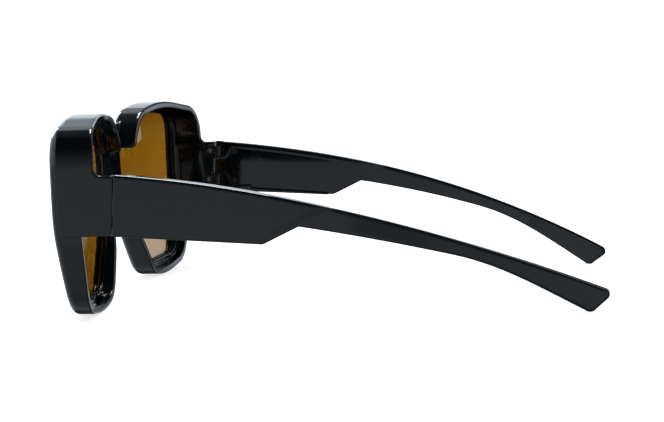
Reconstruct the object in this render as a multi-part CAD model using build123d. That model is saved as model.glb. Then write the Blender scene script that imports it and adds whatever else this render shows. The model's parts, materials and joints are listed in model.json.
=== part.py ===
from build123d import *
from math import atan, cos, degrees, hypot, radians, sin, sqrt
import os

# Fitover sunglasses: a deep moulded front worn over other spectacles, two lenses and two folding temples.
# +X is the wearer's left, -Y the front and +Z up. Everything is drawn about the level of the seam
# between front and temple, and is moved at the end to stand on z = 0, centred in plan.

# Front frame as a whole
side_outer = 72.0
wall = 2.0
seam_y = 0.65
seam_z = 34.0
seam_tilt = 3.9
rest_tilt = 0.37
margin = 6.0

# Outer outline of one hood seen from the front, corner by corner from the bridge over the top.
# Corners on the nose side are placed from the middle, the others inward from the side.
bridge_corner_x = 6.8
bridge_corner_z = 44.0
bridge_corner_radius = 1.6
brow_x = 14.3
brow_z = 55.9
brow_radius = 18.0
crown_inward = 32.0
crown_z = 58.7
crown_radius = 95.0
temple_corner_z = 54.4
temple_corner_radius = 11.0
cheek_z = 27.0
cheek_radius = 22.0
lower_corner_inward = 9.2
lower_corner_z = 2.9
lower_corner_radius = 11.0
bottom_x = 40.0
bottom_z = 0.3
bottom_radius = 66.0
chin_x = 26.6
chin_z = 2.2
chin_radius = 10.0
nose_bend_x = 12.6
nose_bend_z = 18.8
nose_bend_radius = 24.0

# Wrap of the front face: how far it falls back at the sides, and how much more at its lower edge
front_y = -21.0
wrap_drop = 4.4
lower_drop = 3.4
chin_drop = 0.6
drop_start_z = 36.0

# Rear edges of the hoods, above and below the nose line
hood_rear_y = -12.2
hood_rear_sweep = 8.3
rim_rear_y = -12.5
rim_rear_sweep = 4.1
front_edge_radius = 2.4
rear_edge_radius = 0.5
nose_corner_radius = 1.5

# Bridge between the hoods
bridge_top_z = 52.6
bridge_depth = 3.1
bridge_fillet = 4.0
arch_foot_z = 28.0

# Lens opening, corner by corner from the nose over the top, placed as the hood's corners are
eye_nose_x = 10.9
eye_nose_z = 43.5
eye_nose_radius = 14.0
eye_brow_x = 16.8
eye_brow_z = 53.0
eye_brow_radius = 5.0
eye_crown_inward = 32.0
eye_crown_z = 54.6
eye_crown_radius = 90.0
eye_temple_inward = 4.4
eye_temple_z = 52.6
eye_temple_radius = 6.0
eye_cheek_inward = 4.4
eye_cheek_z = 27.0
eye_cheek_radius = 24.0
eye_lower_inward = 12.8
eye_lower_z = 6.2
eye_lower_radius = 9.0
eye_chin_x = 27.2
eye_chin_z = 4.9
eye_chin_radius = 9.0
eye_bend_x = 15.4
eye_bend_z = 19.0
eye_bend_radius = 24.0

# Lens, its groove and the raised lip behind it
lens_thickness = 1.5
lens_depth = 1.35
lens_overlap = 1.1
groove_gap = 0.05
groove_wall = 0.8
lip_height = 0.7
lip_width = 0.8

# Relief of the rim beside the nose, which is shallow above and deepens downward
relief_y = -17.9
relief_top_z = 38.0
relief_mid_y = -14.2
relief_mid_z = 20.0
relief_low_y = -11.9
relief_low_z = 5.0

# End piece that carries the hinges
end_top_z = 42.5
end_bottom_z = 26.0
end_thickness = 4.0
web_thickness = 2.6
end_root_y = -14.0
corner_fillet = 1.8
end_rail_top = 1.4
end_rail_bottom = 0.9
field_front_y = -12.2
nose_line_z = 44.9

# Hinge
seam_gap = 0.3
axis_setback = 1.45
knuckle_radius = 1.25
knuckle_height = 1.0
knuckle_gap = 0.05
wall_behind_hinge = 2.1
upper_hinge_z = 39.2
lower_hinge_z = 29.2
leaf_length = 3.2
leaf_thickness = 0.8
leaf_gap = 0.12
pocket_gap = 0.15
sweep_gap = 0.25
screw_radius = 0.5
screw_fit = 0.02
pivot_clearance = 0.04
screw_head_radius = 0.85
screw_head_height = 0.45
slot_width = 0.3
slot_depth = 0.25
tang_length = 5.0
tang_fit = 0.01
leaf_screw_radius = 0.45
leaf_screw_head_radius = 0.75
leaf_screw_head_height = 0.35
leaf_screw_reach = 1.0

# Temple in plan: straight and slightly splayed, then one long arc inward
temple_splay = 1.6
straight_length = 47.2
curl_radius = 150.0
plan_step = 22.0
panel_thickness = 4.0
arm_thickness = 3.3
plate_overlap = 1.7
field_depth = 1.2
field_blend_length = 80.0
field_hold_share = 0.5
field_fade_share = 0.7
arm_edge_length = 20.0

# Temple from the side
top_front_z = 42.8
top_mid_y = 67.0
top_mid_z = 30.75
tip_top_y = 136.0
tip_top_z = 4.65
tip_top_radius = 1.6
tip_bottom_y = 129.3
tip_bottom_z = -0.58
tip_bottom_radius = 2.2
tip_neck_y = 111.0
tip_neck_z = 10.6
arm_waist_y = 93.0
arm_waist_z = 18.3
arm_mid_y = 73.0
arm_mid_z = 23.3
step_inner_y = 51.8
step_inner_z = 27.5
step_inner_radius = 1.0
step_outer_y = 42.0
step_outer_z = 22.9
step_outer_radius = 2.5
panel_bottom_z = 26.1
bevel_length = 2.4
plate_edge_radius = 0.9
arm_edge_radius = 0.9

# Rails round the sunk inner face of the temple
upper_rail_height = 1.7
lower_rail_height = 1.7
rail_end_height = 0.7
upper_rail_end_y = 66.0
hinge_wall = 1.2
hinge_room = 0.35
hinge_sweep = 2.6
hinge_boss_half = 2.5
boss_radius = 1.8
recess_radius = 0.4
rail_root = 2.2

# Grip ribs inside the tip
rib_count = 10
rib_pitch = 1.35
rib_radius = 0.55
rib_sink = 0.3
rib_length = 3.4
rib_first_length = 111.5
rib_lean = 24.0
rib_drop = 2.9

# One overrun for cuts that pass right through, and how near a point must be to count as on a line
overrun = 20.0
edge_tolerance = 0.01

parts = {}


def outline(corners):
    """A closed face in the XZ plane from (x, z, radius) corners."""
    points = [(x, z) for x, z, radius in corners]
    radii = [radius for x, z, radius in corners]
    return make_face(FilletPolyline(*points, radius=radii, close=True))


def upright(face, near_y, far_y):
    """Extrude a face drawn in x and z from near_y back to far_y."""
    solid = extrude(face, amount=far_y - near_y)
    return Pos(0, far_y, 0) * (Rot(90, 0, 0) * solid)


def sideways(face, near_x, far_x):
    """Extrude a face drawn in y and z from near_x out to far_x."""
    return Pos(near_x, 0, 0) * (Plane.YZ * extrude(face, amount=far_x - near_x))


def box(x0, x1, y0, y1, z0, z1):
    """A block between two corners."""
    middle = Pos((x0 + x1) / 2, (y0 + y1) / 2, (z0 + z1) / 2)
    return middle * Box(abs(x1 - x0), abs(y1 - y0), abs(z1 - z0))


def drop_at_side(z):
    """How far the front face has fallen back at the side, at one height."""
    return wrap_drop + lower_drop * share_below(z) ** 2


def drop_in_middle(z):
    """How far the front face has fallen back beside the nose, at one height."""
    return chin_drop * share_below(z) ** 2


def share_below(z):
    """How far one height lies below the level where the face starts to fall back."""
    return max(drop_start_z - z, 0) / drop_start_z


def wrap_section(z, near_depth, far_depth):
    """The plan of a wrapped layer at one height, from one depth behind the face to another."""
    half = side_outer + margin
    sag = drop_at_side(z) * (half / side_outer) ** 2
    near = front_y + drop_in_middle(z) + near_depth
    far = front_y + drop_in_middle(z) + far_depth
    edges = [
        ThreePointArc((-half, near + sag), (0, near), (half, near + sag)),
        Line((half, near + sag), (half, far + sag)),
        ThreePointArc((half, far + sag), (0, far), (-half, far + sag)),
        Line((-half, far + sag), (-half, near + sag)),
    ]
    return Pos(0, 0, z) * make_face(edges)


def wrap_layer(near_depth, far_depth):
    """A layer that follows the front face, with a smooth fall back towards its lower edge."""
    low = bottom_z - margin
    levels = [low, low + (drop_start_z - low) / 3, low + (drop_start_z - low) * 2 / 3, drop_start_z]
    lower = loft([wrap_section(z, near_depth, far_depth) for z in levels])
    upper = extrude(wrap_section(drop_start_z, near_depth, far_depth), amount=margin + crown_z - drop_start_z)
    return lower + upper


def behind(rear_y, sweep):
    """All the space behind a rear edge that is swept back at the sides."""
    half = side_outer + margin
    side_y = rear_y + sweep * (half / side_outer) ** 2
    edges = [
        ThreePointArc((-half, side_y), (0, rear_y), (half, side_y)),
        Line((half, side_y), (half, side_y + overrun + overrun)),
        Line((half, side_y + overrun + overrun), (-half, side_y + overrun + overrun)),
        Line((-half, side_y + overrun + overrun), (-half, side_y)),
    ]
    return Pos(0, 0, -overrun) * extrude(make_face(edges), amount=crown_z + overrun + overrun)


# Side profile levels that the seam and the hinges share
hinge_x = side_outer - wall_behind_hinge - knuckle_radius
axis_y = seam_y + axis_setback
hinge_place = Pos(hinge_x, axis_y, seam_z) * Rot(-seam_tilt, 0, 0)
stack_height = 3 * knuckle_height + 2 * knuckle_gap
pocket_half = stack_height / 2 + pocket_gap


def hinge_block(x0, x1, y0, y1, z0, z1):
    """A block given from the hinge axis, and leaning with it."""
    return hinge_place * box(x0, x1, y0, y1, z0, z1)


hood_corners = [
    (bridge_corner_x, bridge_corner_z, bridge_corner_radius),
    (brow_x, brow_z, brow_radius),
    (side_outer - crown_inward, crown_z, crown_radius),
    (side_outer, temple_corner_z, temple_corner_radius),
    (side_outer, cheek_z, cheek_radius),
    (side_outer - lower_corner_inward, lower_corner_z, lower_corner_radius),
    (bottom_x, bottom_z, bottom_radius),
    (chin_x, chin_z, chin_radius),
    (nose_bend_x, nose_bend_z, nose_bend_radius),
]
eye_corners = [
    (eye_nose_x, eye_nose_z, eye_nose_radius),
    (eye_brow_x, eye_brow_z, eye_brow_radius),
    (side_outer - eye_crown_inward, eye_crown_z, eye_crown_radius),
    (side_outer - eye_temple_inward, eye_temple_z, eye_temple_radius),
    (side_outer - eye_cheek_inward, eye_cheek_z, eye_cheek_radius),
    (side_outer - eye_lower_inward, eye_lower_z, eye_lower_radius),
    (eye_chin_x, eye_chin_z, eye_chin_radius),
    (eye_bend_x, eye_bend_z, eye_bend_radius),
]
hood_outline = outline(hood_corners)
eye_outline = outline(eye_corners)
lens_outline = offset(eye_outline, amount=lens_overlap)
groove_outline = offset(eye_outline, amount=lens_overlap + groove_gap)
lip_outline = offset(eye_outline, amount=lip_width)
cavity_outline = offset(hood_outline, amount=-wall)

lens_back_depth = lens_depth + lens_thickness
floor_depth = lens_back_depth + groove_wall
far_depth = front_y * -1 + overrun
near_y = front_y - margin
far_y = front_y + far_depth + margin


def lens():
    """A wrapped lens, the same thickness all over."""
    return upright(lens_outline, near_y, far_y) & wrap_layer(lens_depth, lens_back_depth)


def front_block():
    """The front before it is hollowed: swept back behind, rounded in front, thin at the bridge."""
    block = upright(front_outline(), near_y, far_y) & wrap_layer(0, far_depth)
    block -= behind(hood_rear_y, hood_rear_sweep)
    nose = box(-chin_x, chin_x, near_y, far_y, -overrun, nose_line_z)
    cheeks = box(-side_outer - margin, side_outer + margin, near_y, far_y, -overrun, end_top_z)
    block -= behind(rim_rear_y, rim_rear_sweep) & (nose + cheeks)
    block -= nose_relief()
    block = fillet([edge for edge in block.edges() if is_front_edge(edge)], front_edge_radius)
    web = front_outline() - hood_outline - mirror(hood_outline, about=Plane.YZ)
    return block - (upright(web, near_y, far_y) & wrap_layer(bridge_depth, far_depth))


def nose_relief():
    """What is cut from behind the rims beside the nose, so that they thin out towards the bridge."""
    edges = [
        Line((far_y, nose_line_z), (relief_y, nose_line_z)),
        Line((relief_y, nose_line_z), (relief_y, relief_top_z)),
        Spline(
            (relief_y, relief_top_z),
            (relief_mid_y, relief_mid_z),
            (relief_low_y, relief_low_z),
            tangents=[(0, -1), (relief_low_y - relief_mid_y, relief_low_z - relief_mid_z)],
        ),
        Line((relief_low_y, relief_low_z), (far_y, relief_low_z)),
        Line((far_y, relief_low_z), (far_y, nose_line_z)),
    ]
    return sideways(make_face(edges), -chin_x, chin_x)


def is_front_edge(edge):
    """True for an edge that lies all along the front face, but not the line where its fall starts."""
    if all(abs((edge @ share).Z - drop_start_z) < edge_tolerance for share in (0, 0.5, 1)):
        return False
    for share in (0, 0.5, 1):
        point = edge @ share
        sag = drop_at_side(point.Z) * (point.X / side_outer) ** 2
        if abs(point.Y - front_y - drop_in_middle(point.Z) - sag) > wall / 4:
            return False
    return True


def end_piece():
    """The block that reaches back from the hood to the seam."""
    profile = Polyline(
        (end_root_y, end_bottom_z),
        (seam_y + margin, end_bottom_z),
        (seam_y + margin, end_top_z),
        (end_root_y, end_top_z),
        close=True,
    )
    return sideways(make_face(profile), side_outer - end_thickness, side_outer)


def bridge_outline():
    """The web between the hoods from the front: its nose arch runs on from the walls of the hoods."""
    lean = (nose_bend_x - bridge_corner_x) / (bridge_corner_z - nose_bend_z)
    foot_x = bridge_corner_x + (bridge_corner_z - arch_foot_z) * lean
    arch_top_z = arch_foot_z + foot_x * (hypot(1, lean) - lean)
    edges = [
        Line((-brow_x, bridge_top_z), (brow_x, bridge_top_z)),
        Line((brow_x, bridge_top_z), (foot_x, arch_foot_z)),
        ThreePointArc((foot_x, arch_foot_z), (0, arch_top_z), (-foot_x, arch_foot_z)),
        Line((-foot_x, arch_foot_z), (-brow_x, bridge_top_z)),
    ]
    return make_face(edges)


def front_outline():
    """The whole front from the front: two hoods joined by the bridge, with rounded corners above it."""
    face = hood_outline + mirror(hood_outline, about=Plane.YZ) + bridge_outline()
    for side in (-1, 1):
        corner = face.vertices().sort_by_distance((side * brow_x, bridge_top_z, 0))[0]
        face = fillet(corner, bridge_fillet)
    return face


def hood_hollow():
    """What is cut from one hood: eye opening, lens groove and the hollow behind the lens."""
    hollow = upright(cavity_outline, near_y, far_y) & wrap_layer(floor_depth, far_depth)
    hollow -= upright(lip_outline, near_y, far_y) & wrap_layer(floor_depth, floor_depth + lip_height)
    hollow += upright(eye_outline, near_y, far_y)
    hollow += upright(groove_outline, near_y, far_y) & wrap_layer(
        lens_depth - groove_gap, lens_back_depth + groove_gap
    )
    return hollow


def hinge_pockets():
    """Pockets for the two frame leaves and holes for their small screws."""
    pockets = None
    for level in (upper_hinge_z - seam_z, lower_hinge_z - seam_z):
        pocket = hinge_block(
            -end_thickness,
            knuckle_radius,
            -axis_setback - leaf_length - pocket_gap,
            overrun,
            level - pocket_half,
            level + pocket_half,
        )
        pocket += leaf_screw_bore(level, screw_fit)
        pockets = pocket if pockets is None else pockets + pocket
    return pockets


def leaf_screw_bore(level, gap):
    """The hole of a small screw through the leaf and into the end piece."""
    place = Pos(0, -axis_setback - leaf_length / 2, level) * Rot(0, 90, 0)
    reach = knuckle_radius + leaf_screw_reach
    return hinge_place * (place * (Pos(0, 0, reach / 2) * Cylinder(leaf_screw_radius + gap, reach)))


def front_cuts():
    """What is cut from the left side of the front: hollow, field and pockets of the end piece, and the seam."""
    field = box(
        side_outer - end_thickness - margin,
        side_outer - web_thickness,
        field_front_y,
        overrun,
        end_bottom_z + end_rail_bottom,
        end_top_z - end_rail_top,
    )
    beyond_seam = hinge_block(-overrun, overrun, -axis_setback, overrun, -overrun, overrun)
    return (hood_hollow() - end_piece()) + field + hinge_pockets() + beyond_seam


def is_rear_corner(edge):
    """True for the inner corner where the rear edge of a hood meets the top of its end piece."""
    for point in (edge @ 0, edge @ 1):
        if abs(point.Z - end_top_z) > edge_tolerance or abs(point.X) < side_outer - end_thickness - edge_tolerance:
            return False
        if abs(point.Y - rear_y_at(point.X)) > wall / 4:
            return False
    return True


def is_nose_corner(edge):
    """True for the lower rear corner of the wall of a hood beside the nose."""
    for point in (edge @ 0, edge @ 0.5, edge @ 1):
        if abs(point.Z - nose_line_z) > edge_tolerance or abs(point.Y - rear_y_at(point.X)) > wall / 4:
            return False
    return True


def is_nose_edge(edge):
    """True for the lower outer edge of the wall of a hood beside the nose."""
    low = all(abs((edge @ share).Z - nose_line_z) < edge_tolerance for share in (0, 1))
    return low and abs((edge @ 0.5).X) < brow_x and abs((edge @ 0).Y - (edge @ 1).Y) > wall


def is_rear_edge(edge):
    """True for an outer edge at the back of a hood or along the top of an end piece."""
    middle = edge @ 0.5
    if middle.Z < end_top_z - edge_tolerance:
        return False
    at_side = all(abs(abs((edge @ share).X) - side_outer) < edge_tolerance for share in (0, 0.5, 1))
    if at_side and min((edge @ 0).Y, (edge @ 1).Y) > rear_y_at(side_outer) - wall / 4:
        return True
    at_back = all(abs((edge @ share).Y - rear_y_at((edge @ share).X)) < wall / 4 for share in (0, 0.5, 1))
    above_corner = max((edge @ 0).Z, (edge @ 1).Z) > nose_line_z + nose_corner_radius + edge_tolerance
    return at_back and above_corner


def rear_y_at(x):
    """Where the upper rear edge of a hood lies, so far from the middle."""
    return hood_rear_y + hood_rear_sweep * (x / side_outer) ** 2


def front_frame():
    """The whole front in one moulding."""
    body = front_block() + end_piece() + mirror(end_piece(), about=Plane.YZ)
    body = fillet([edge for edge in body.edges() if is_rear_corner(edge)], corner_fillet)
    body = fillet([edge for edge in body.edges() if is_nose_corner(edge)], nose_corner_radius)
    body = fillet([edge for edge in body.edges() if is_rear_edge(edge) or is_nose_edge(edge)], rear_edge_radius)
    cuts = front_cuts()
    return body - cuts - mirror(cuts, about=Plane.YZ)


def plan_point(distance, out):
    """A point of the temple in plan: so far along its inner face, and so far outward from it."""
    lean = radians(temple_splay)
    inner_x = side_outer - end_thickness
    if distance <= straight_length:
        x = inner_x + distance * sin(lean) + out * cos(lean)
        y = seam_y + distance * cos(lean) - out * sin(lean)
        return (x, y)
    centre_x = inner_x + straight_length * sin(lean) - curl_radius * cos(lean)
    centre_y = seam_y + straight_length * cos(lean) + curl_radius * sin(lean)
    turn = (distance - straight_length) / curl_radius - lean
    reach = curl_radius + out
    return (centre_x + reach * cos(turn), centre_y + reach * sin(turn))


def plan_turn(distance):
    """The temple's heading in plan, in degrees from straight back."""
    if distance <= straight_length:
        return -temple_splay
    return degrees((distance - straight_length) / curl_radius) - temple_splay


temple_length = tip_top_y + margin + margin


def side_edges(out, start, end):
    """The plan line of one face of the temple, from one distance to another."""
    spans = max(round((end - start) / plan_step), 2)
    points = [plan_point(start + (end - start) * number / spans, out) for number in range(spans + 1)]
    return [Spline(*points, tangents=[heading(start), heading(end)])]


def ribbon(inner_edges, out, start, end):
    """A solid as high as the temple between an inner line in plan and a face so far out."""
    edges = inner_edges + side_edges(out, start, end)
    edges.append(Line(inner_edges[0] @ 0, plan_point(start, out)))
    edges.append(Line(inner_edges[-1] @ 1, plan_point(end, out)))
    return Pos(0, 0, -overrun) * extrude(make_face(edges), amount=top_front_z + overrun + overrun)


def top_edge():
    """The temple's upper edge from the side."""
    return ThreePointArc((seam_y - margin, top_z(seam_y - margin)), (top_mid_y, top_mid_z), (tip_top_y, tip_top_z))


def top_z(y):
    """The height of the upper edge, on the circle through its front, middle and tip."""
    ax, az = seam_y, top_front_z
    bx, bz = top_mid_y, top_mid_z
    cx, cz = tip_top_y, tip_top_z
    d = 2 * (ax * (bz - cz) + bx * (cz - az) + cx * (az - bz))
    ua, ub, uc = ax**2 + az**2, bx**2 + bz**2, cx**2 + cz**2
    centre_y = (ua * (bz - cz) + ub * (cz - az) + uc * (az - bz)) / d
    centre_z = (ua * (cx - bx) + ub * (ax - cx) + uc * (bx - ax)) / d
    radius = hypot(ax - centre_y, az - centre_z)
    if centre_z > az:
        return centre_z - sqrt(radius**2 - (y - centre_y) ** 2)
    return centre_z + sqrt(radius**2 - (y - centre_y) ** 2)


def side_profile():
    """The whole temple from the side: wide panel, slanted step, slim arm and flared tip."""
    start_y = seam_y - margin
    upper = top_edge()
    end = Line((tip_top_y, tip_top_z), (tip_bottom_y, tip_bottom_z))
    arm = ThreePointArc((step_inner_y, step_inner_z), (arm_mid_y, arm_mid_z), (arm_waist_y, arm_waist_z))
    tip = Spline(
        (arm_waist_y, arm_waist_z),
        (tip_neck_y, tip_neck_z),
        (tip_bottom_y, tip_bottom_z),
        tangents=[arm % 1, (tip_bottom_y - tip_neck_y, tip_bottom_z - tip_neck_z)],
    )
    step = Line((step_outer_y, step_outer_z), (step_inner_y, step_inner_z))
    bottom = Line((start_y, panel_bottom_z), (step_outer_y, step_outer_z))
    front = Line((start_y, panel_bottom_z), (start_y, top_z(start_y)))
    face = make_face([upper, end, tip, arm, step, bottom, front])
    corners = {
        (tip_top_y, tip_top_z): tip_top_radius,
        (tip_bottom_y, tip_bottom_z): tip_bottom_radius,
        (step_inner_y, step_inner_z): step_inner_radius,
        (step_outer_y, step_outer_z): step_outer_radius,
    }
    for (y, z), radius in corners.items():
        vertex = face.vertices().sort_by_distance((y, z, 0))[0]
        face = fillet(vertex, radius)
    return face


def inner_line():
    """The plan line of the temple's inner face: sunk beside the hinges, full again along the arm."""
    field_line = Spline(
        plan_point(-margin, field_depth),
        plan_point(straight_length * field_hold_share, field_depth),
        plan_point(straight_length, field_depth * field_fade_share),
        plan_point(field_blend_length, 0),
        tangents=[heading(0), heading(field_blend_length)],
    )
    return [field_line] + side_edges(0, field_blend_length, temple_length)


def heading(distance):
    """Unit direction of the temple in plan."""
    turn = radians(plan_turn(distance))
    return (-sin(turn), cos(turn))


def long_edges(part, near_length):
    """The edges that run along the temple."""
    return [edge for edge in part.edges() if edge.length > near_length]


def outer_plate(profile):
    """The raised outer plate of the wide panel, cut off on a slant with a bevel."""
    slope = (step_inner_z - step_outer_z) / (step_inner_y - step_outer_y)
    rise = overrun * slope
    cut_face = make_face(
        Polyline(
            (step_inner_y - overrun, step_inner_z - rise),
            (step_inner_y + overrun, step_inner_z + rise),
            (step_inner_y + overrun, top_front_z + overrun),
            (-overrun, top_front_z + overrun),
            (-overrun, step_inner_z - overrun),
            (step_inner_y - overrun, step_inner_z - overrun),
            close=True,
        )
    )
    slab = sideways(profile & cut_face, 0, side_outer + margin)
    length = step_inner_y + overrun
    edges = side_edges(plate_overlap, -margin, length)
    plate = slab & ribbon(edges, panel_thickness, -margin, length)
    outside = [edge for edge in long_edges(plate, step_inner_y / 2) if edge.center().X > hinge_x + knuckle_radius]
    plate = fillet(outside, plate_edge_radius)
    return plate - Pos(0, step_inner_y, step_inner_z) * Rot(degrees(atan(slope)), 0, 0) * bevel_cut()


def bevel_cut():
    """The wedge that is cut from the end of the plate, as if that end ran level."""
    step = panel_thickness - arm_thickness
    start_x, start_y = plan_point(step_outer_y, arm_thickness)
    wedge = Polyline(
        (start_x - step, -bevel_length),
        (start_x + 3 * step, 3 * bevel_length),
        (start_x + 3 * step, -bevel_length),
        close=True,
    )
    return upright(make_face(wedge), -overrun, overrun)


def boss_face(level, far_z, rail_z):
    """The outline of a hinge boss from the side, swept back into its rail."""
    back = axis_y + knuckle_radius + hinge_room + hinge_wall
    lip = level + (hinge_boss_half if far_z < level else -hinge_boss_half)
    return make_face(
        FilletPolyline(
            (-margin, lip),
            (back, lip),
            (back + hinge_sweep, rail_z),
            (back + hinge_sweep + margin, rail_z),
            (back + hinge_sweep + margin, far_z),
            (-margin, far_z),
            radius=[0, boss_radius, boss_radius, 0, 0, 0],
            close=True,
        )
    )


def rails(profile):
    """The raised rails and hinge bosses on the inner side of the wide panel."""
    upper = profile - Pos(0, -upper_rail_height) * profile
    upper &= Pos(upper_rail_end_y / 2 - margin, 0) * Rectangle(upper_rail_end_y, top_front_z * 4)
    lower = make_face(
        Polyline(
            (-margin, panel_bottom_z + lower_rail_height),
            (step_outer_y - lower_rail_height, step_outer_z + rail_end_height),
            (step_outer_y - lower_rail_height, step_outer_z - margin),
            (-margin, step_outer_z - margin),
            close=True,
        )
    )
    back = axis_y + knuckle_radius + hinge_room + hinge_wall + hinge_sweep
    upper_boss = boss_face(upper_hinge_z, top_front_z + margin, top_z(back) - upper_rail_height)
    lower_boss = boss_face(lower_hinge_z, panel_bottom_z - margin, panel_bottom_z + lower_rail_height / 2)
    face = upper + (lower & profile) + (upper_boss & profile) + (lower_boss & profile)
    edges = side_edges(0, -margin, upper_rail_end_y)
    return sideways(face, 0, side_outer + margin) & ribbon(edges, rail_root, -margin, upper_rail_end_y)


def hinge_recesses():
    """Recesses at the front of the temple for the knuckles, open to the seam, and slots for the tangs."""
    cuts = None
    for level, way in ((upper_hinge_z - seam_z, 1), (lower_hinge_z - seam_z, -1)):
        back = knuckle_radius + hinge_room
        face = make_face(
            FilletPolyline(
                (-overrun, level - way * pocket_half),
                (back, level - way * pocket_half),
                (back, level + way * overrun),
                (-overrun, level + way * overrun),
                radius=[0, recess_radius, 0, 0],
                close=True,
            )
        )
        recess = hinge_place * sideways(face, -overrun, knuckle_radius + sweep_gap)
        recess += tang(level, tang_fit)
        cuts = recess if cuts is None else cuts + recess
    return cuts


def grip_ribs():
    """Short ribs across the inner face near the tip."""
    ribs = []
    for number in range(rib_count):
        distance = rib_first_length + number * rib_pitch
        x, y = plan_point(distance, rib_sink)
        place = Pos(x, y, top_z(y) - rib_drop) * Rot(0, 0, plan_turn(distance)) * Rot(-rib_lean, 0, 0)
        ribs.append(place * Cylinder(rib_radius, rib_length))
    return ribs


def temple():
    """The left temple: arm, raised outer plate, inner rails, hinge recesses and grip ribs."""
    profile = side_profile()
    slab = sideways(profile, 0, side_outer + margin)
    arm = slab & ribbon(inner_line(), arm_thickness, -margin, temple_length)
    arm = fillet(long_edges(arm, arm_edge_length), arm_edge_radius)
    body = arm + outer_plate(profile) + rails(profile)
    for rib in grip_ribs():
        body += rib
    body -= hinge_recesses()
    return body - hinge_block(-overrun, overrun, -overrun, seam_gap - axis_setback, -overrun, overrun)


def tang(level, gap):
    """The flat tail of a temple leaf, from its knuckle back into the temple."""
    half = knuckle_height / 2 + gap
    return hinge_block(
        knuckle_radius - leaf_thickness - gap,
        knuckle_radius + gap,
        0,
        knuckle_radius + hinge_room + tang_length + gap,
        level - half,
        level + half,
    )


def knuckle(level, height, bore):
    """One barrel of a hinge, bored for the screw."""
    barrel = Cylinder(knuckle_radius, height) - Cylinder(bore, height + overrun)
    return hinge_place * (Pos(0, 0, level) * barrel)


def temple_leaf(level):
    """The middle knuckle and its tang."""
    leaf = tang(level, 0) + knuckle(level, knuckle_height, screw_radius)
    bore = hinge_place * (Pos(0, 0, level) * Cylinder(screw_radius + pivot_clearance, overrun))
    return leaf - bore


def frame_leaf(level, way):
    """Two outer knuckles on a plate that sits in the pocket of the end piece."""
    plate = hinge_block(
        knuckle_radius - leaf_thickness,
        knuckle_radius,
        -axis_setback - leaf_length,
        -knuckle_radius - leaf_gap,
        level - stack_height / 2,
        level + stack_height / 2,
    )
    step = knuckle_height + knuckle_gap
    for side in (-1, 1):
        middle = level + side * step
        plate += hinge_block(
            knuckle_radius - leaf_thickness,
            knuckle_radius,
            -axis_setback,
            0,
            middle - knuckle_height / 2,
            middle + knuckle_height / 2,
        )
        plate += knuckle(middle, knuckle_height, screw_radius)
    plate -= hinge_place * (Pos(0, 0, level) * Cylinder(screw_radius + screw_fit, overrun))
    head_base = level + way * (stack_height / 2 - screw_head_height)
    sink = Cylinder(screw_head_radius + screw_fit, screw_head_height * 2)
    plate -= hinge_place * (Pos(0, 0, head_base + way * screw_head_height) * sink)
    return plate - leaf_screw_bore(level, screw_fit)


def hinge_screw(level, way):
    """A slotted pivot screw, its head sunk in the outer knuckle."""
    shank_height = stack_height - screw_head_height
    shank = Pos(0, 0, level - way * screw_head_height / 2) * Cylinder(screw_radius, shank_height)
    head_middle = level + way * (stack_height - screw_head_height) / 2
    head = Pos(0, 0, head_middle) * Cylinder(screw_head_radius, screw_head_height)
    slot = Pos(0, 0, head_middle + way * screw_head_height / 2) * Box(
        slot_width, screw_head_radius * 3, slot_depth * 2
    )
    return hinge_place * (shank + head - slot)


def leaf_screw(level):
    """A small round-headed screw that holds a frame leaf in its pocket."""
    inner = knuckle_radius - leaf_thickness
    reach = knuckle_radius + leaf_screw_reach
    shank = Pos(0, 0, (inner + reach) / 2) * Cylinder(leaf_screw_radius, reach - inner)
    head = Pos(0, 0, inner - leaf_screw_head_height / 2) * Cylinder(leaf_screw_head_radius, leaf_screw_head_height)
    slot = Pos(0, 0, inner - leaf_screw_head_height) * Box(leaf_screw_head_radius * 3, slot_width, slot_depth)
    place = Pos(0, -axis_setback - leaf_length / 2, level) * Rot(0, 90, 0)
    return hinge_place * (place * (shank + head - slot))


def both_sides(name, part):
    """Keep a piece of the left side and its mirror image on the right."""
    parts[name + "_left"] = part
    parts[name + "_right"] = mirror(part, about=Plane.YZ)


parts["front_frame"] = front_frame()
both_sides("lens", lens())
both_sides("temple", temple())
for place_name, level, way in (("upper", upper_hinge_z - seam_z, 1), ("lower", lower_hinge_z - seam_z, -1)):
    both_sides("frame_hinge_" + place_name, frame_leaf(level, way))
    both_sides("temple_hinge_" + place_name, temple_leaf(level))
    both_sides("hinge_screw_" + place_name, hinge_screw(level, way))
    both_sides("leaf_screw_" + place_name, leaf_screw(level))

# Stand the whole on z = 0, centred in plan, so that the front and the tips of the temples both touch
to_rest = Rot(rest_tilt, 0, 0)
extents = [(to_rest * part).bounding_box() for part in parts.values()]
middle_y = (min(extent.min.Y for extent in extents) + max(extent.max.Y for extent in extents)) / 2
floor_z = min(extent.min.Z for extent in extents)
to_origin = Pos(0, -middle_y, -floor_z) * to_rest

os.makedirs("parts", exist_ok=True)
for name, part in parts.items():
    placed = to_origin * part
    export_step(placed, f"parts/{name}.step")
    print(name, len(placed.solids()), round(placed.volume, 1), placed.bounding_box())
print("middle_y", middle_y, "floor_z", floor_z, "hinge axis", to_origin * hinge_place)
print("lowest points", [(to_rest * parts[name]).bounding_box().min.Z for name in ("front_frame", "temple_left")])
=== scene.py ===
import json
import math

import bpy
from mathutils import Matrix, Vector

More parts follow.
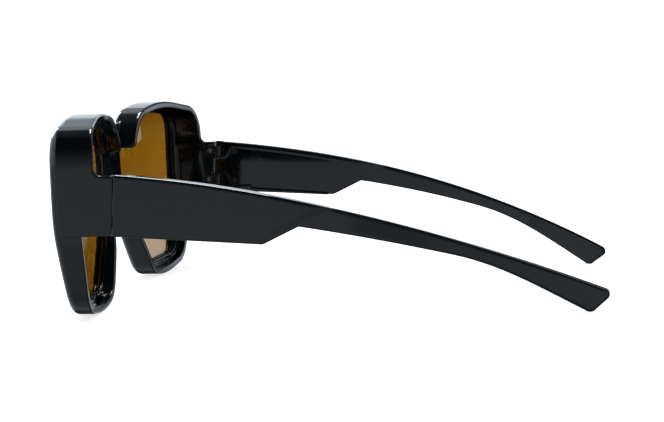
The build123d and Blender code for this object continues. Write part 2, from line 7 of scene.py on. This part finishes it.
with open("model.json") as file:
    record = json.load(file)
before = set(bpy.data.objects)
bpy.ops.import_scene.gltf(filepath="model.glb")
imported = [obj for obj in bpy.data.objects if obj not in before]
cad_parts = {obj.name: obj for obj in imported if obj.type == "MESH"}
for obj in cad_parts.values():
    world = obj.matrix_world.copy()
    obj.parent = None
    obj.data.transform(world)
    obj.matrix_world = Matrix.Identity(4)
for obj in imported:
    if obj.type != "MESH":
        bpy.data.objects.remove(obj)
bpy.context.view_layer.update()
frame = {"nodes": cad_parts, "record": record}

# Camera, solved from the straight edges of the two temples in the photograph, and placed from the left hinge
photo_width_px = 664
focal_px = 1827.4
sensor_width_mm = 36.0
camera_from_hinge = (0.48563, 0.12613, 0.04644)
camera_yaw = 7.92
camera_pitch = 5.73
camera_roll = -2.085
clip_near = 0.01
clip_far = 20.0
# Tilt of the part at rest, against the level front that the camera was solved on
rest_tilt = 0.37

# Studio
floor_half = 3.0
floor_white = 0.80
floor_lift = 0.75
backdrop_white = (1.0, 1.0, 1.0)
backdrop_strength = 1.0
ambient_strength = 0.55
# Name, place, point that it faces, width, length and power
lamps = (
    ("top_box", (-0.485, -0.14, 0.905), (0.0, -0.06, 0.03), 0.26, 0.38, 5.5),
    ("far_box", (-0.75, -0.66, 0.46), (0.0, -0.07, 0.03), 0.42, 0.20, 2.6),
)

# Panels that gloss sees, between these angles along the Y axis
tent_strength = 1.5
tent_tint = (0.90, 1.0, 1.09)
tent_front_from = (-24.0, -32.0)
tent_rear_from = (1.0, 6.0)
tent_far_rear_from = (18.0, 24.0)
# Angle about the Y axis, 0 at the side of +X and 90 overhead, and level
tent_middle = (
    (-180.0, 0.70), (-166.0, 0.50), (-154.0, 0.05), (-124.0, 0.08), (-112.0, 0.36), (-60.0, 0.24), (-46.0, 0.38),
    (-36.0, 0.50), (-10.0, 0.50), (-2.0, 0.42), (6.0, 0.30), (24.0, 0.15), (40.0, 0.055), (56.0, 0.013), (88.0, 0.015),
    (104.0, 0.09), (128.0, 0.10), (130.0, 0.60), (145.0, 0.60), (157.0, 0.27), (161.0, 0.25), (166.0, 0.80),
    (180.0, 0.70),
)
tent_front = (
    (-180.0, 0.70), (-120.0, 0.50), (-60.0, 0.40), (-14.0, 0.50), (0.0, 0.55), (12.0, 0.90), (60.0, 0.95),
    (110.0, 1.00), (150.0, 0.90), (180.0, 0.70),
)
tent_rear = (
    (-180.0, 0.07), (-173.0, 0.09), (-169.0, 0.30), (-166.0, 0.34), (-156.0, 0.04), (-60.0, 0.05), (-44.0, 0.35),
    (-10.0, 0.36), (0.0, 0.20), (20.0, 0.17), (48.0, 0.17), (64.0, 0.01), (84.0, 0.06), (120.0, 0.07), (168.0, 0.05),
    (180.0, 0.07),
)
tent_far_rear = (
    (-180.0, 0.82), (-170.0, 0.60), (-165.0, 0.50), (-156.0, 0.04), (-60.0, 0.10), (-44.0, 0.40), (-10.0, 0.44),
    (4.0, 0.20), (48.0, 0.10), (64.0, 0.01), (110.0, 0.02), (116.0, 0.85), (140.0, 0.85), (146.0, 0.02), (160.0, 0.02),
    (172.0, 0.30), (180.0, 0.82),
)

# Shading of the rounded edges, in metres
front_edge_radius = 0.0009
temple_edge_radius = 0.0006
bevel_samples = 16

# Colours as they are seen, in linear light
black_plastic = (0.0018, 0.0030, 0.0042)
black_plastic_worn = (0.0035, 0.0048, 0.0062)
amber_light = (0.190, 0.086, 0.0036)
amber_dark = (0.165, 0.073, 0.0028)
coated_black = (0.006, 0.006, 0.007)
coated_black_worn = (0.012, 0.012, 0.013)
screw_bright = (0.38, 0.38, 0.39)
screw_dull = (0.24, 0.24, 0.25)

# Surface values: scale of each noise to a metre, roughness from low to high, relief in metres
flow_scale = 38.0
flow_stretch = (1.0, 0.35, 1.0)
flow_relief = 0.0002
flow_relief_share = 0.05
polish_scale = 900.0
plastic_roughness = (0.035, 0.075)
plastic_ior = 1.45
tint_scale = 14.0
lens_ior = 1.6
coat_scale = 1400.0
coat_relief = 0.00005
coat_relief_share = 0.08
coat_roughness = (0.18, 0.32)
coat_metallic = 0.2
turning_scale = 2600.0
turning_stretch = (1.0, 1.0, 0.2)
screw_roughness = (0.14, 0.26)

# Sockets of a colour mix
mix_first = 6
mix_second = 7
mix_result = 2


def new_material(name):
    """An empty node material with its output and a Principled shader."""
    material = bpy.data.materials.new(name)
    material.use_nodes = True
    nodes = material.node_tree.nodes
    shader = nodes["Principled BSDF"]
    return material, nodes, material.node_tree.links, shader


def noise(nodes, links, scale, detail, stretch=(1.0, 1.0, 1.0)):
    """A noise texture on the object's own coordinates, in metres."""
    place = nodes.new("ShaderNodeTexCoord")
    mapping = nodes.new("ShaderNodeMapping")
    mapping.inputs["Scale"].default_value = stretch
    texture = nodes.new("ShaderNodeTexNoise")
    texture.inputs["Scale"].default_value = scale
    texture.inputs["Detail"].default_value = detail
    links.new(place.outputs["Object"], mapping.inputs["Vector"])
    links.new(mapping.outputs["Vector"], texture.inputs["Vector"])
    return texture


def ramp(nodes, links, source, low, high, start=0.35, end=0.65):
    """Maps a noise to a range of values or colours."""
    mapper = nodes.new("ShaderNodeValToRGB")
    mapper.color_ramp.elements[0].position = start
    mapper.color_ramp.elements[1].position = end
    low = (low, low, low) if isinstance(low, float) else low
    high = (high, high, high) if isinstance(high, float) else high
    mapper.color_ramp.elements[0].color = (*low, 1.0)
    mapper.color_ramp.elements[1].color = (*high, 1.0)
    links.new(source.outputs["Fac"], mapper.inputs["Fac"])
    return mapper


def soft_edges(nodes, radius):
    """The shading of edges that the mould has rounded."""
    bevel = nodes.new("ShaderNodeBevel")
    bevel.samples = bevel_samples
    bevel.inputs["Radius"].default_value = radius
    return bevel


def add_bump(nodes, links, shader, source, strength, distance, base=None):
    """Adds a faint relief from a noise, over a base normal where there is one."""
    bump = nodes.new("ShaderNodeBump")
    if base:
        links.new(base.outputs["Normal"], bump.inputs["Normal"])
    bump.inputs["Strength"].default_value = strength
    bump.inputs["Distance"].default_value = distance
    links.new(source.outputs["Fac"], bump.inputs["Height"])
    links.new(bump.outputs["Normal"], shader.inputs["Normal"])


def glossy_plastic(name, radius):
    """Black injection-moulded plastic: polished, with a faint flow in its gloss."""
    material, nodes, links, shader = new_material(name)
    flow = noise(nodes, links, flow_scale, 3.0, flow_stretch)
    colour = ramp(nodes, links, flow, black_plastic, black_plastic_worn)
    links.new(colour.outputs["Color"], shader.inputs["Base Color"])
    fine = noise(nodes, links, polish_scale, 2.0)
    gloss = ramp(nodes, links, fine, *plastic_roughness)
    links.new(gloss.outputs["Color"], shader.inputs["Roughness"])
    add_bump(nodes, links, shader, flow, flow_relief_share, flow_relief, soft_edges(nodes, radius))
    shader.inputs["IOR"].default_value = plastic_ior
    return material


def amber_lens(name):
    """Polished amber lens, tinted through."""
    material, nodes, links, shader = new_material(name)
    drift = noise(nodes, links, tint_scale, 1.0)
    colour = ramp(nodes, links, drift, amber_dark, amber_light)
    links.new(colour.outputs["Color"], shader.inputs["Base Color"])
    shader.inputs["Roughness"].default_value = 0.0
    shader.inputs["Transmission Weight"].default_value = 1.0
    shader.inputs["IOR"].default_value = lens_ior
    return material


def coated_metal(name):
    """Small black-coated hinge leaves, a little duller than the plastic."""
    material, nodes, links, shader = new_material(name)
    grain = noise(nodes, links, coat_scale, 3.0)
    colour = ramp(nodes, links, grain, coated_black, coated_black_worn)
    links.new(colour.outputs["Color"], shader.inputs["Base Color"])
    gloss = ramp(nodes, links, grain, *coat_roughness)
    links.new(gloss.outputs["Color"], shader.inputs["Roughness"])
    add_bump(nodes, links, shader, grain, coat_relief_share, coat_relief)
    shader.inputs["Metallic"].default_value = coat_metallic
    return material


def polished_steel(name):
    """Screw metal with fine turning marks."""
    material, nodes, links, shader = new_material(name)
    turning = noise(nodes, links, turning_scale, 2.0, turning_stretch)
    colour = ramp(nodes, links, turning, screw_dull, screw_bright)
    links.new(colour.outputs["Color"], shader.inputs["Base Color"])
    gloss = ramp(nodes, links, turning, *screw_roughness)
    links.new(gloss.outputs["Color"], shader.inputs["Roughness"])
    shader.inputs["Metallic"].default_value = 1.0
    return material


def dress_nodes():
    """Give every node of the frame its material, by the slot that the record states."""
    made = {
        "front_frame": glossy_plastic("moulded_front", front_edge_radius),
        "temple": glossy_plastic("moulded_temple", temple_edge_radius),
        "lens": amber_lens("tinted_lens"),
        "hinge_leaf": coated_metal("coated_leaf"),
        "screw": polished_steel("screw_steel"),
    }
    slots = {part["node"]: part["material_slot"] for part in frame["record"]["subparts"]}
    for name, node in frame["nodes"].items():
        node.data.materials.clear()
        node.data.materials.append(made[slots[name]])


def seen_directly(nodes, links):
    """One for camera, glossy and transmission rays, so that gloss and glass show the same backdrop."""
    path = nodes.new("ShaderNodeLightPath")
    first = nodes.new("ShaderNodeMath")
    first.operation = "MAXIMUM"
    second = nodes.new("ShaderNodeMath")
    second.operation = "MAXIMUM"
    links.new(path.outputs["Is Camera Ray"], first.inputs[0])
    links.new(path.outputs["Is Glossy Ray"], first.inputs[1])
    links.new(first.outputs["Value"], second.inputs[0])
    links.new(path.outputs["Is Transmission Ray"], second.inputs[1])
    return second.outputs["Value"]


def tent_ramp(nodes, links, turn, stops):
    """Brightness of the panels, by the angle about the Y axis in degrees."""
    mapper = nodes.new("ShaderNodeValToRGB")
    while len(mapper.color_ramp.elements) < len(stops):
        mapper.color_ramp.elements.new(0.5)
    for element, (angle, level) in zip(mapper.color_ramp.elements, stops):
        element.position = angle / 360.0 + 0.5
        element.color = (level, level, level, 1.0)
    links.new(turn, mapper.inputs["Fac"])
    return mapper.outputs["Color"]


def side_weight(nodes, links, source, start, end):
    """Goes from 0 to 1 between two angles along the Y axis, in degrees."""
    weight = nodes.new("ShaderNodeMapRange")
    weight.interpolation_type = "SMOOTHSTEP"
    weight.inputs["From Min"].default_value = math.sin(math.radians(start))
    weight.inputs["From Max"].default_value = math.sin(math.radians(end))
    links.new(source, weight.inputs["Value"])
    return weight.outputs["Result"]


def blend_levels(nodes, links, factor, first, second):
    """A mix of two colours."""
    mix = nodes.new("ShaderNodeMix")
    mix.data_type = "RGBA"
    links.new(factor, mix.inputs["Factor"])
    links.new(first, mix.inputs[mix_first])
    links.new(second, mix.inputs[mix_second])
    return mix.outputs[mix_result]


def tent_colour(nodes, links):
    """Soft and dark panels round the object, by direction, as gloss sees them."""
    place = nodes.new("ShaderNodeTexCoord")
    split = nodes.new("ShaderNodeSeparateXYZ")
    angle = nodes.new("ShaderNodeMath")
    angle.operation = "ARCTAN2"
    turn = nodes.new("ShaderNodeMapRange")
    turn.inputs["From Min"].default_value = -math.pi
    turn.inputs["From Max"].default_value = math.pi
    links.new(place.outputs["Generated"], split.inputs["Vector"])
    links.new(split.outputs["Z"], angle.inputs[0])
    links.new(split.outputs["X"], angle.inputs[1])
    links.new(angle.outputs["Value"], turn.inputs["Value"])
    middle = tent_ramp(nodes, links, turn.outputs["Result"], tent_middle)
    rear = tent_ramp(nodes, links, turn.outputs["Result"], tent_rear)
    far_rear = tent_ramp(nodes, links, turn.outputs["Result"], tent_far_rear)
    behind = side_weight(nodes, links, split.outputs["Y"], *tent_rear_from)
    level = blend_levels(nodes, links, behind, middle, rear)
    far_behind = side_weight(nodes, links, split.outputs["Y"], *tent_far_rear_from)
    level = blend_levels(nodes, links, far_behind, level, far_rear)
    ahead = side_weight(nodes, links, split.outputs["Y"], *tent_front_from)
    front = tent_ramp(nodes, links, turn.outputs["Result"], tent_front)
    level = blend_levels(nodes, links, ahead, level, front)
    tint = nodes.new("ShaderNodeMix")
    tint.data_type = "RGBA"
    tint.blend_type = "MULTIPLY"
    tint.inputs["Factor"].default_value = 1.0
    tint.inputs[mix_second].default_value = (*tent_tint, 1.0)
    links.new(level, tint.inputs[mix_first])
    return tint.outputs[mix_result]


def make_world():
    """A white backdrop where it is seen, soft and dark panels for gloss, and a plain soft light elsewhere."""
    world = bpy.data.worlds.new("studio")
    bpy.context.scene.world = world
    world.use_nodes = True
    nodes = world.node_tree.nodes
    links = world.node_tree.links
    nodes.clear()
    soft = nodes.new("ShaderNodeBackground")
    soft.inputs["Strength"].default_value = ambient_strength
    white = nodes.new("ShaderNodeBackground")
    white.inputs["Color"].default_value = (*backdrop_white, 1.0)
    white.inputs["Strength"].default_value = backdrop_strength
    panels = nodes.new("ShaderNodeBackground")
    panels.inputs["Strength"].default_value = tent_strength
    links.new(tent_colour(nodes, links), panels.inputs["Color"])
    path = nodes.new("ShaderNodeLightPath")
    seen = nodes.new("ShaderNodeMixShader")
    gloss = nodes.new("ShaderNodeMixShader")
    output = nodes.new("ShaderNodeOutputWorld")
    links.new(seen_directly(nodes, links), seen.inputs["Fac"])
    links.new(soft.outputs["Background"], seen.inputs[1])
    links.new(white.outputs["Background"], seen.inputs[2])
    links.new(path.outputs["Is Glossy Ray"], gloss.inputs["Fac"])
    links.new(seen.outputs["Shader"], gloss.inputs[1])
    links.new(panels.outputs["Background"], gloss.inputs[2])
    links.new(gloss.outputs["Shader"], output.inputs["Surface"])


def make_floor():
    """A pale floor that keeps the shadow of the object."""
    mesh = bpy.data.meshes.new("floor")
    signs = ((-1, -1), (1, -1), (1, 1), (-1, 1))
    corners = [(across * floor_half, along * floor_half, 0.0) for across, along in signs]
    mesh.from_pydata(corners, [], [(0, 1, 2, 3)])
    floor = bpy.data.objects.new("floor", mesh)
    bpy.context.scene.collection.objects.link(floor)
    material = bpy.data.materials.new("pale_floor")
    material.use_nodes = True
    nodes = material.node_tree.nodes
    links = material.node_tree.links
    nodes.clear()
    matt = nodes.new("ShaderNodeBsdfDiffuse")
    matt.inputs["Color"].default_value = (floor_white, floor_white, floor_white, 1.0)
    lift = nodes.new("ShaderNodeEmission")
    lift.inputs["Strength"].default_value = floor_lift
    nothing = nodes.new("ShaderNodeEmission")
    nothing.inputs["Strength"].default_value = 0.0
    mix = nodes.new("ShaderNodeMixShader")
    total = nodes.new("ShaderNodeAddShader")
    output = nodes.new("ShaderNodeOutputMaterial")
    links.new(seen_directly(nodes, links), mix.inputs["Fac"])
    links.new(nothing.outputs["Emission"], mix.inputs[1])
    links.new(lift.outputs["Emission"], mix.inputs[2])
    links.new(matt.outputs["BSDF"], total.inputs[0])
    links.new(mix.outputs["Shader"], total.inputs[1])
    links.new(total.outputs["Shader"], output.inputs["Surface"])
    mesh.materials.append(material)
    floor.visible_glossy = False


def area_lamp(name, place, target, size, size_y, power):
    """A rectangular soft box that faces a point."""
    light = bpy.data.lights.new(name, "AREA")
    light.shape = "RECTANGLE"
    light.size = size
    light.size_y = size_y
    light.energy = power
    lamp = bpy.data.objects.new(name, light)
    lamp.location = place
    lamp.rotation_mode = "QUATERNION"
    lamp.rotation_quaternion = (Vector(target) - Vector(place)).to_track_quat("-Z", "Y")
    bpy.context.scene.collection.objects.link(lamp)


def make_camera():
    """The photograph's camera."""
    yaw = math.radians(camera_yaw)
    pitch = math.radians(camera_pitch)
    roll = math.radians(camera_roll)
    ahead = Vector((-math.cos(yaw) * math.cos(pitch), -math.sin(yaw) * math.cos(pitch), -math.sin(pitch)))
    right = ahead.cross(Vector((0, 0, 1))).normalized()
    above = right.cross(ahead)
    turned_right = right * math.cos(roll) + above * math.sin(roll)
    turned_above = above * math.cos(roll) - right * math.sin(roll)
    data = bpy.data.cameras.new("photo_camera")
    data.sensor_width = sensor_width_mm
    data.lens = focal_px / photo_width_px * sensor_width_mm
    data.clip_start = clip_near
    data.clip_end = clip_far
    camera = bpy.data.objects.new("photo_camera", data)
    turn = Matrix((turned_right, turned_above, -ahead)).transposed().to_4x4()
    joints = frame["record"]["behaviour"]["joints"]
    hinge = next(joint["pos_m"] for joint in joints if joint["name"] == "left_temple_fold")
    level = Matrix.Rotation(math.radians(rest_tilt), 4, "X")
    camera.matrix_world = Matrix.Translation(hinge) @ level @ Matrix.Translation(camera_from_hinge) @ turn
    bpy.context.scene.collection.objects.link(camera)
    bpy.context.scene.camera = camera


dress_nodes()
make_world()
make_floor()
for lamp in lamps:
    area_lamp(*lamp)
make_camera()
bpy.context.scene.view_settings.view_transform = "Standard"
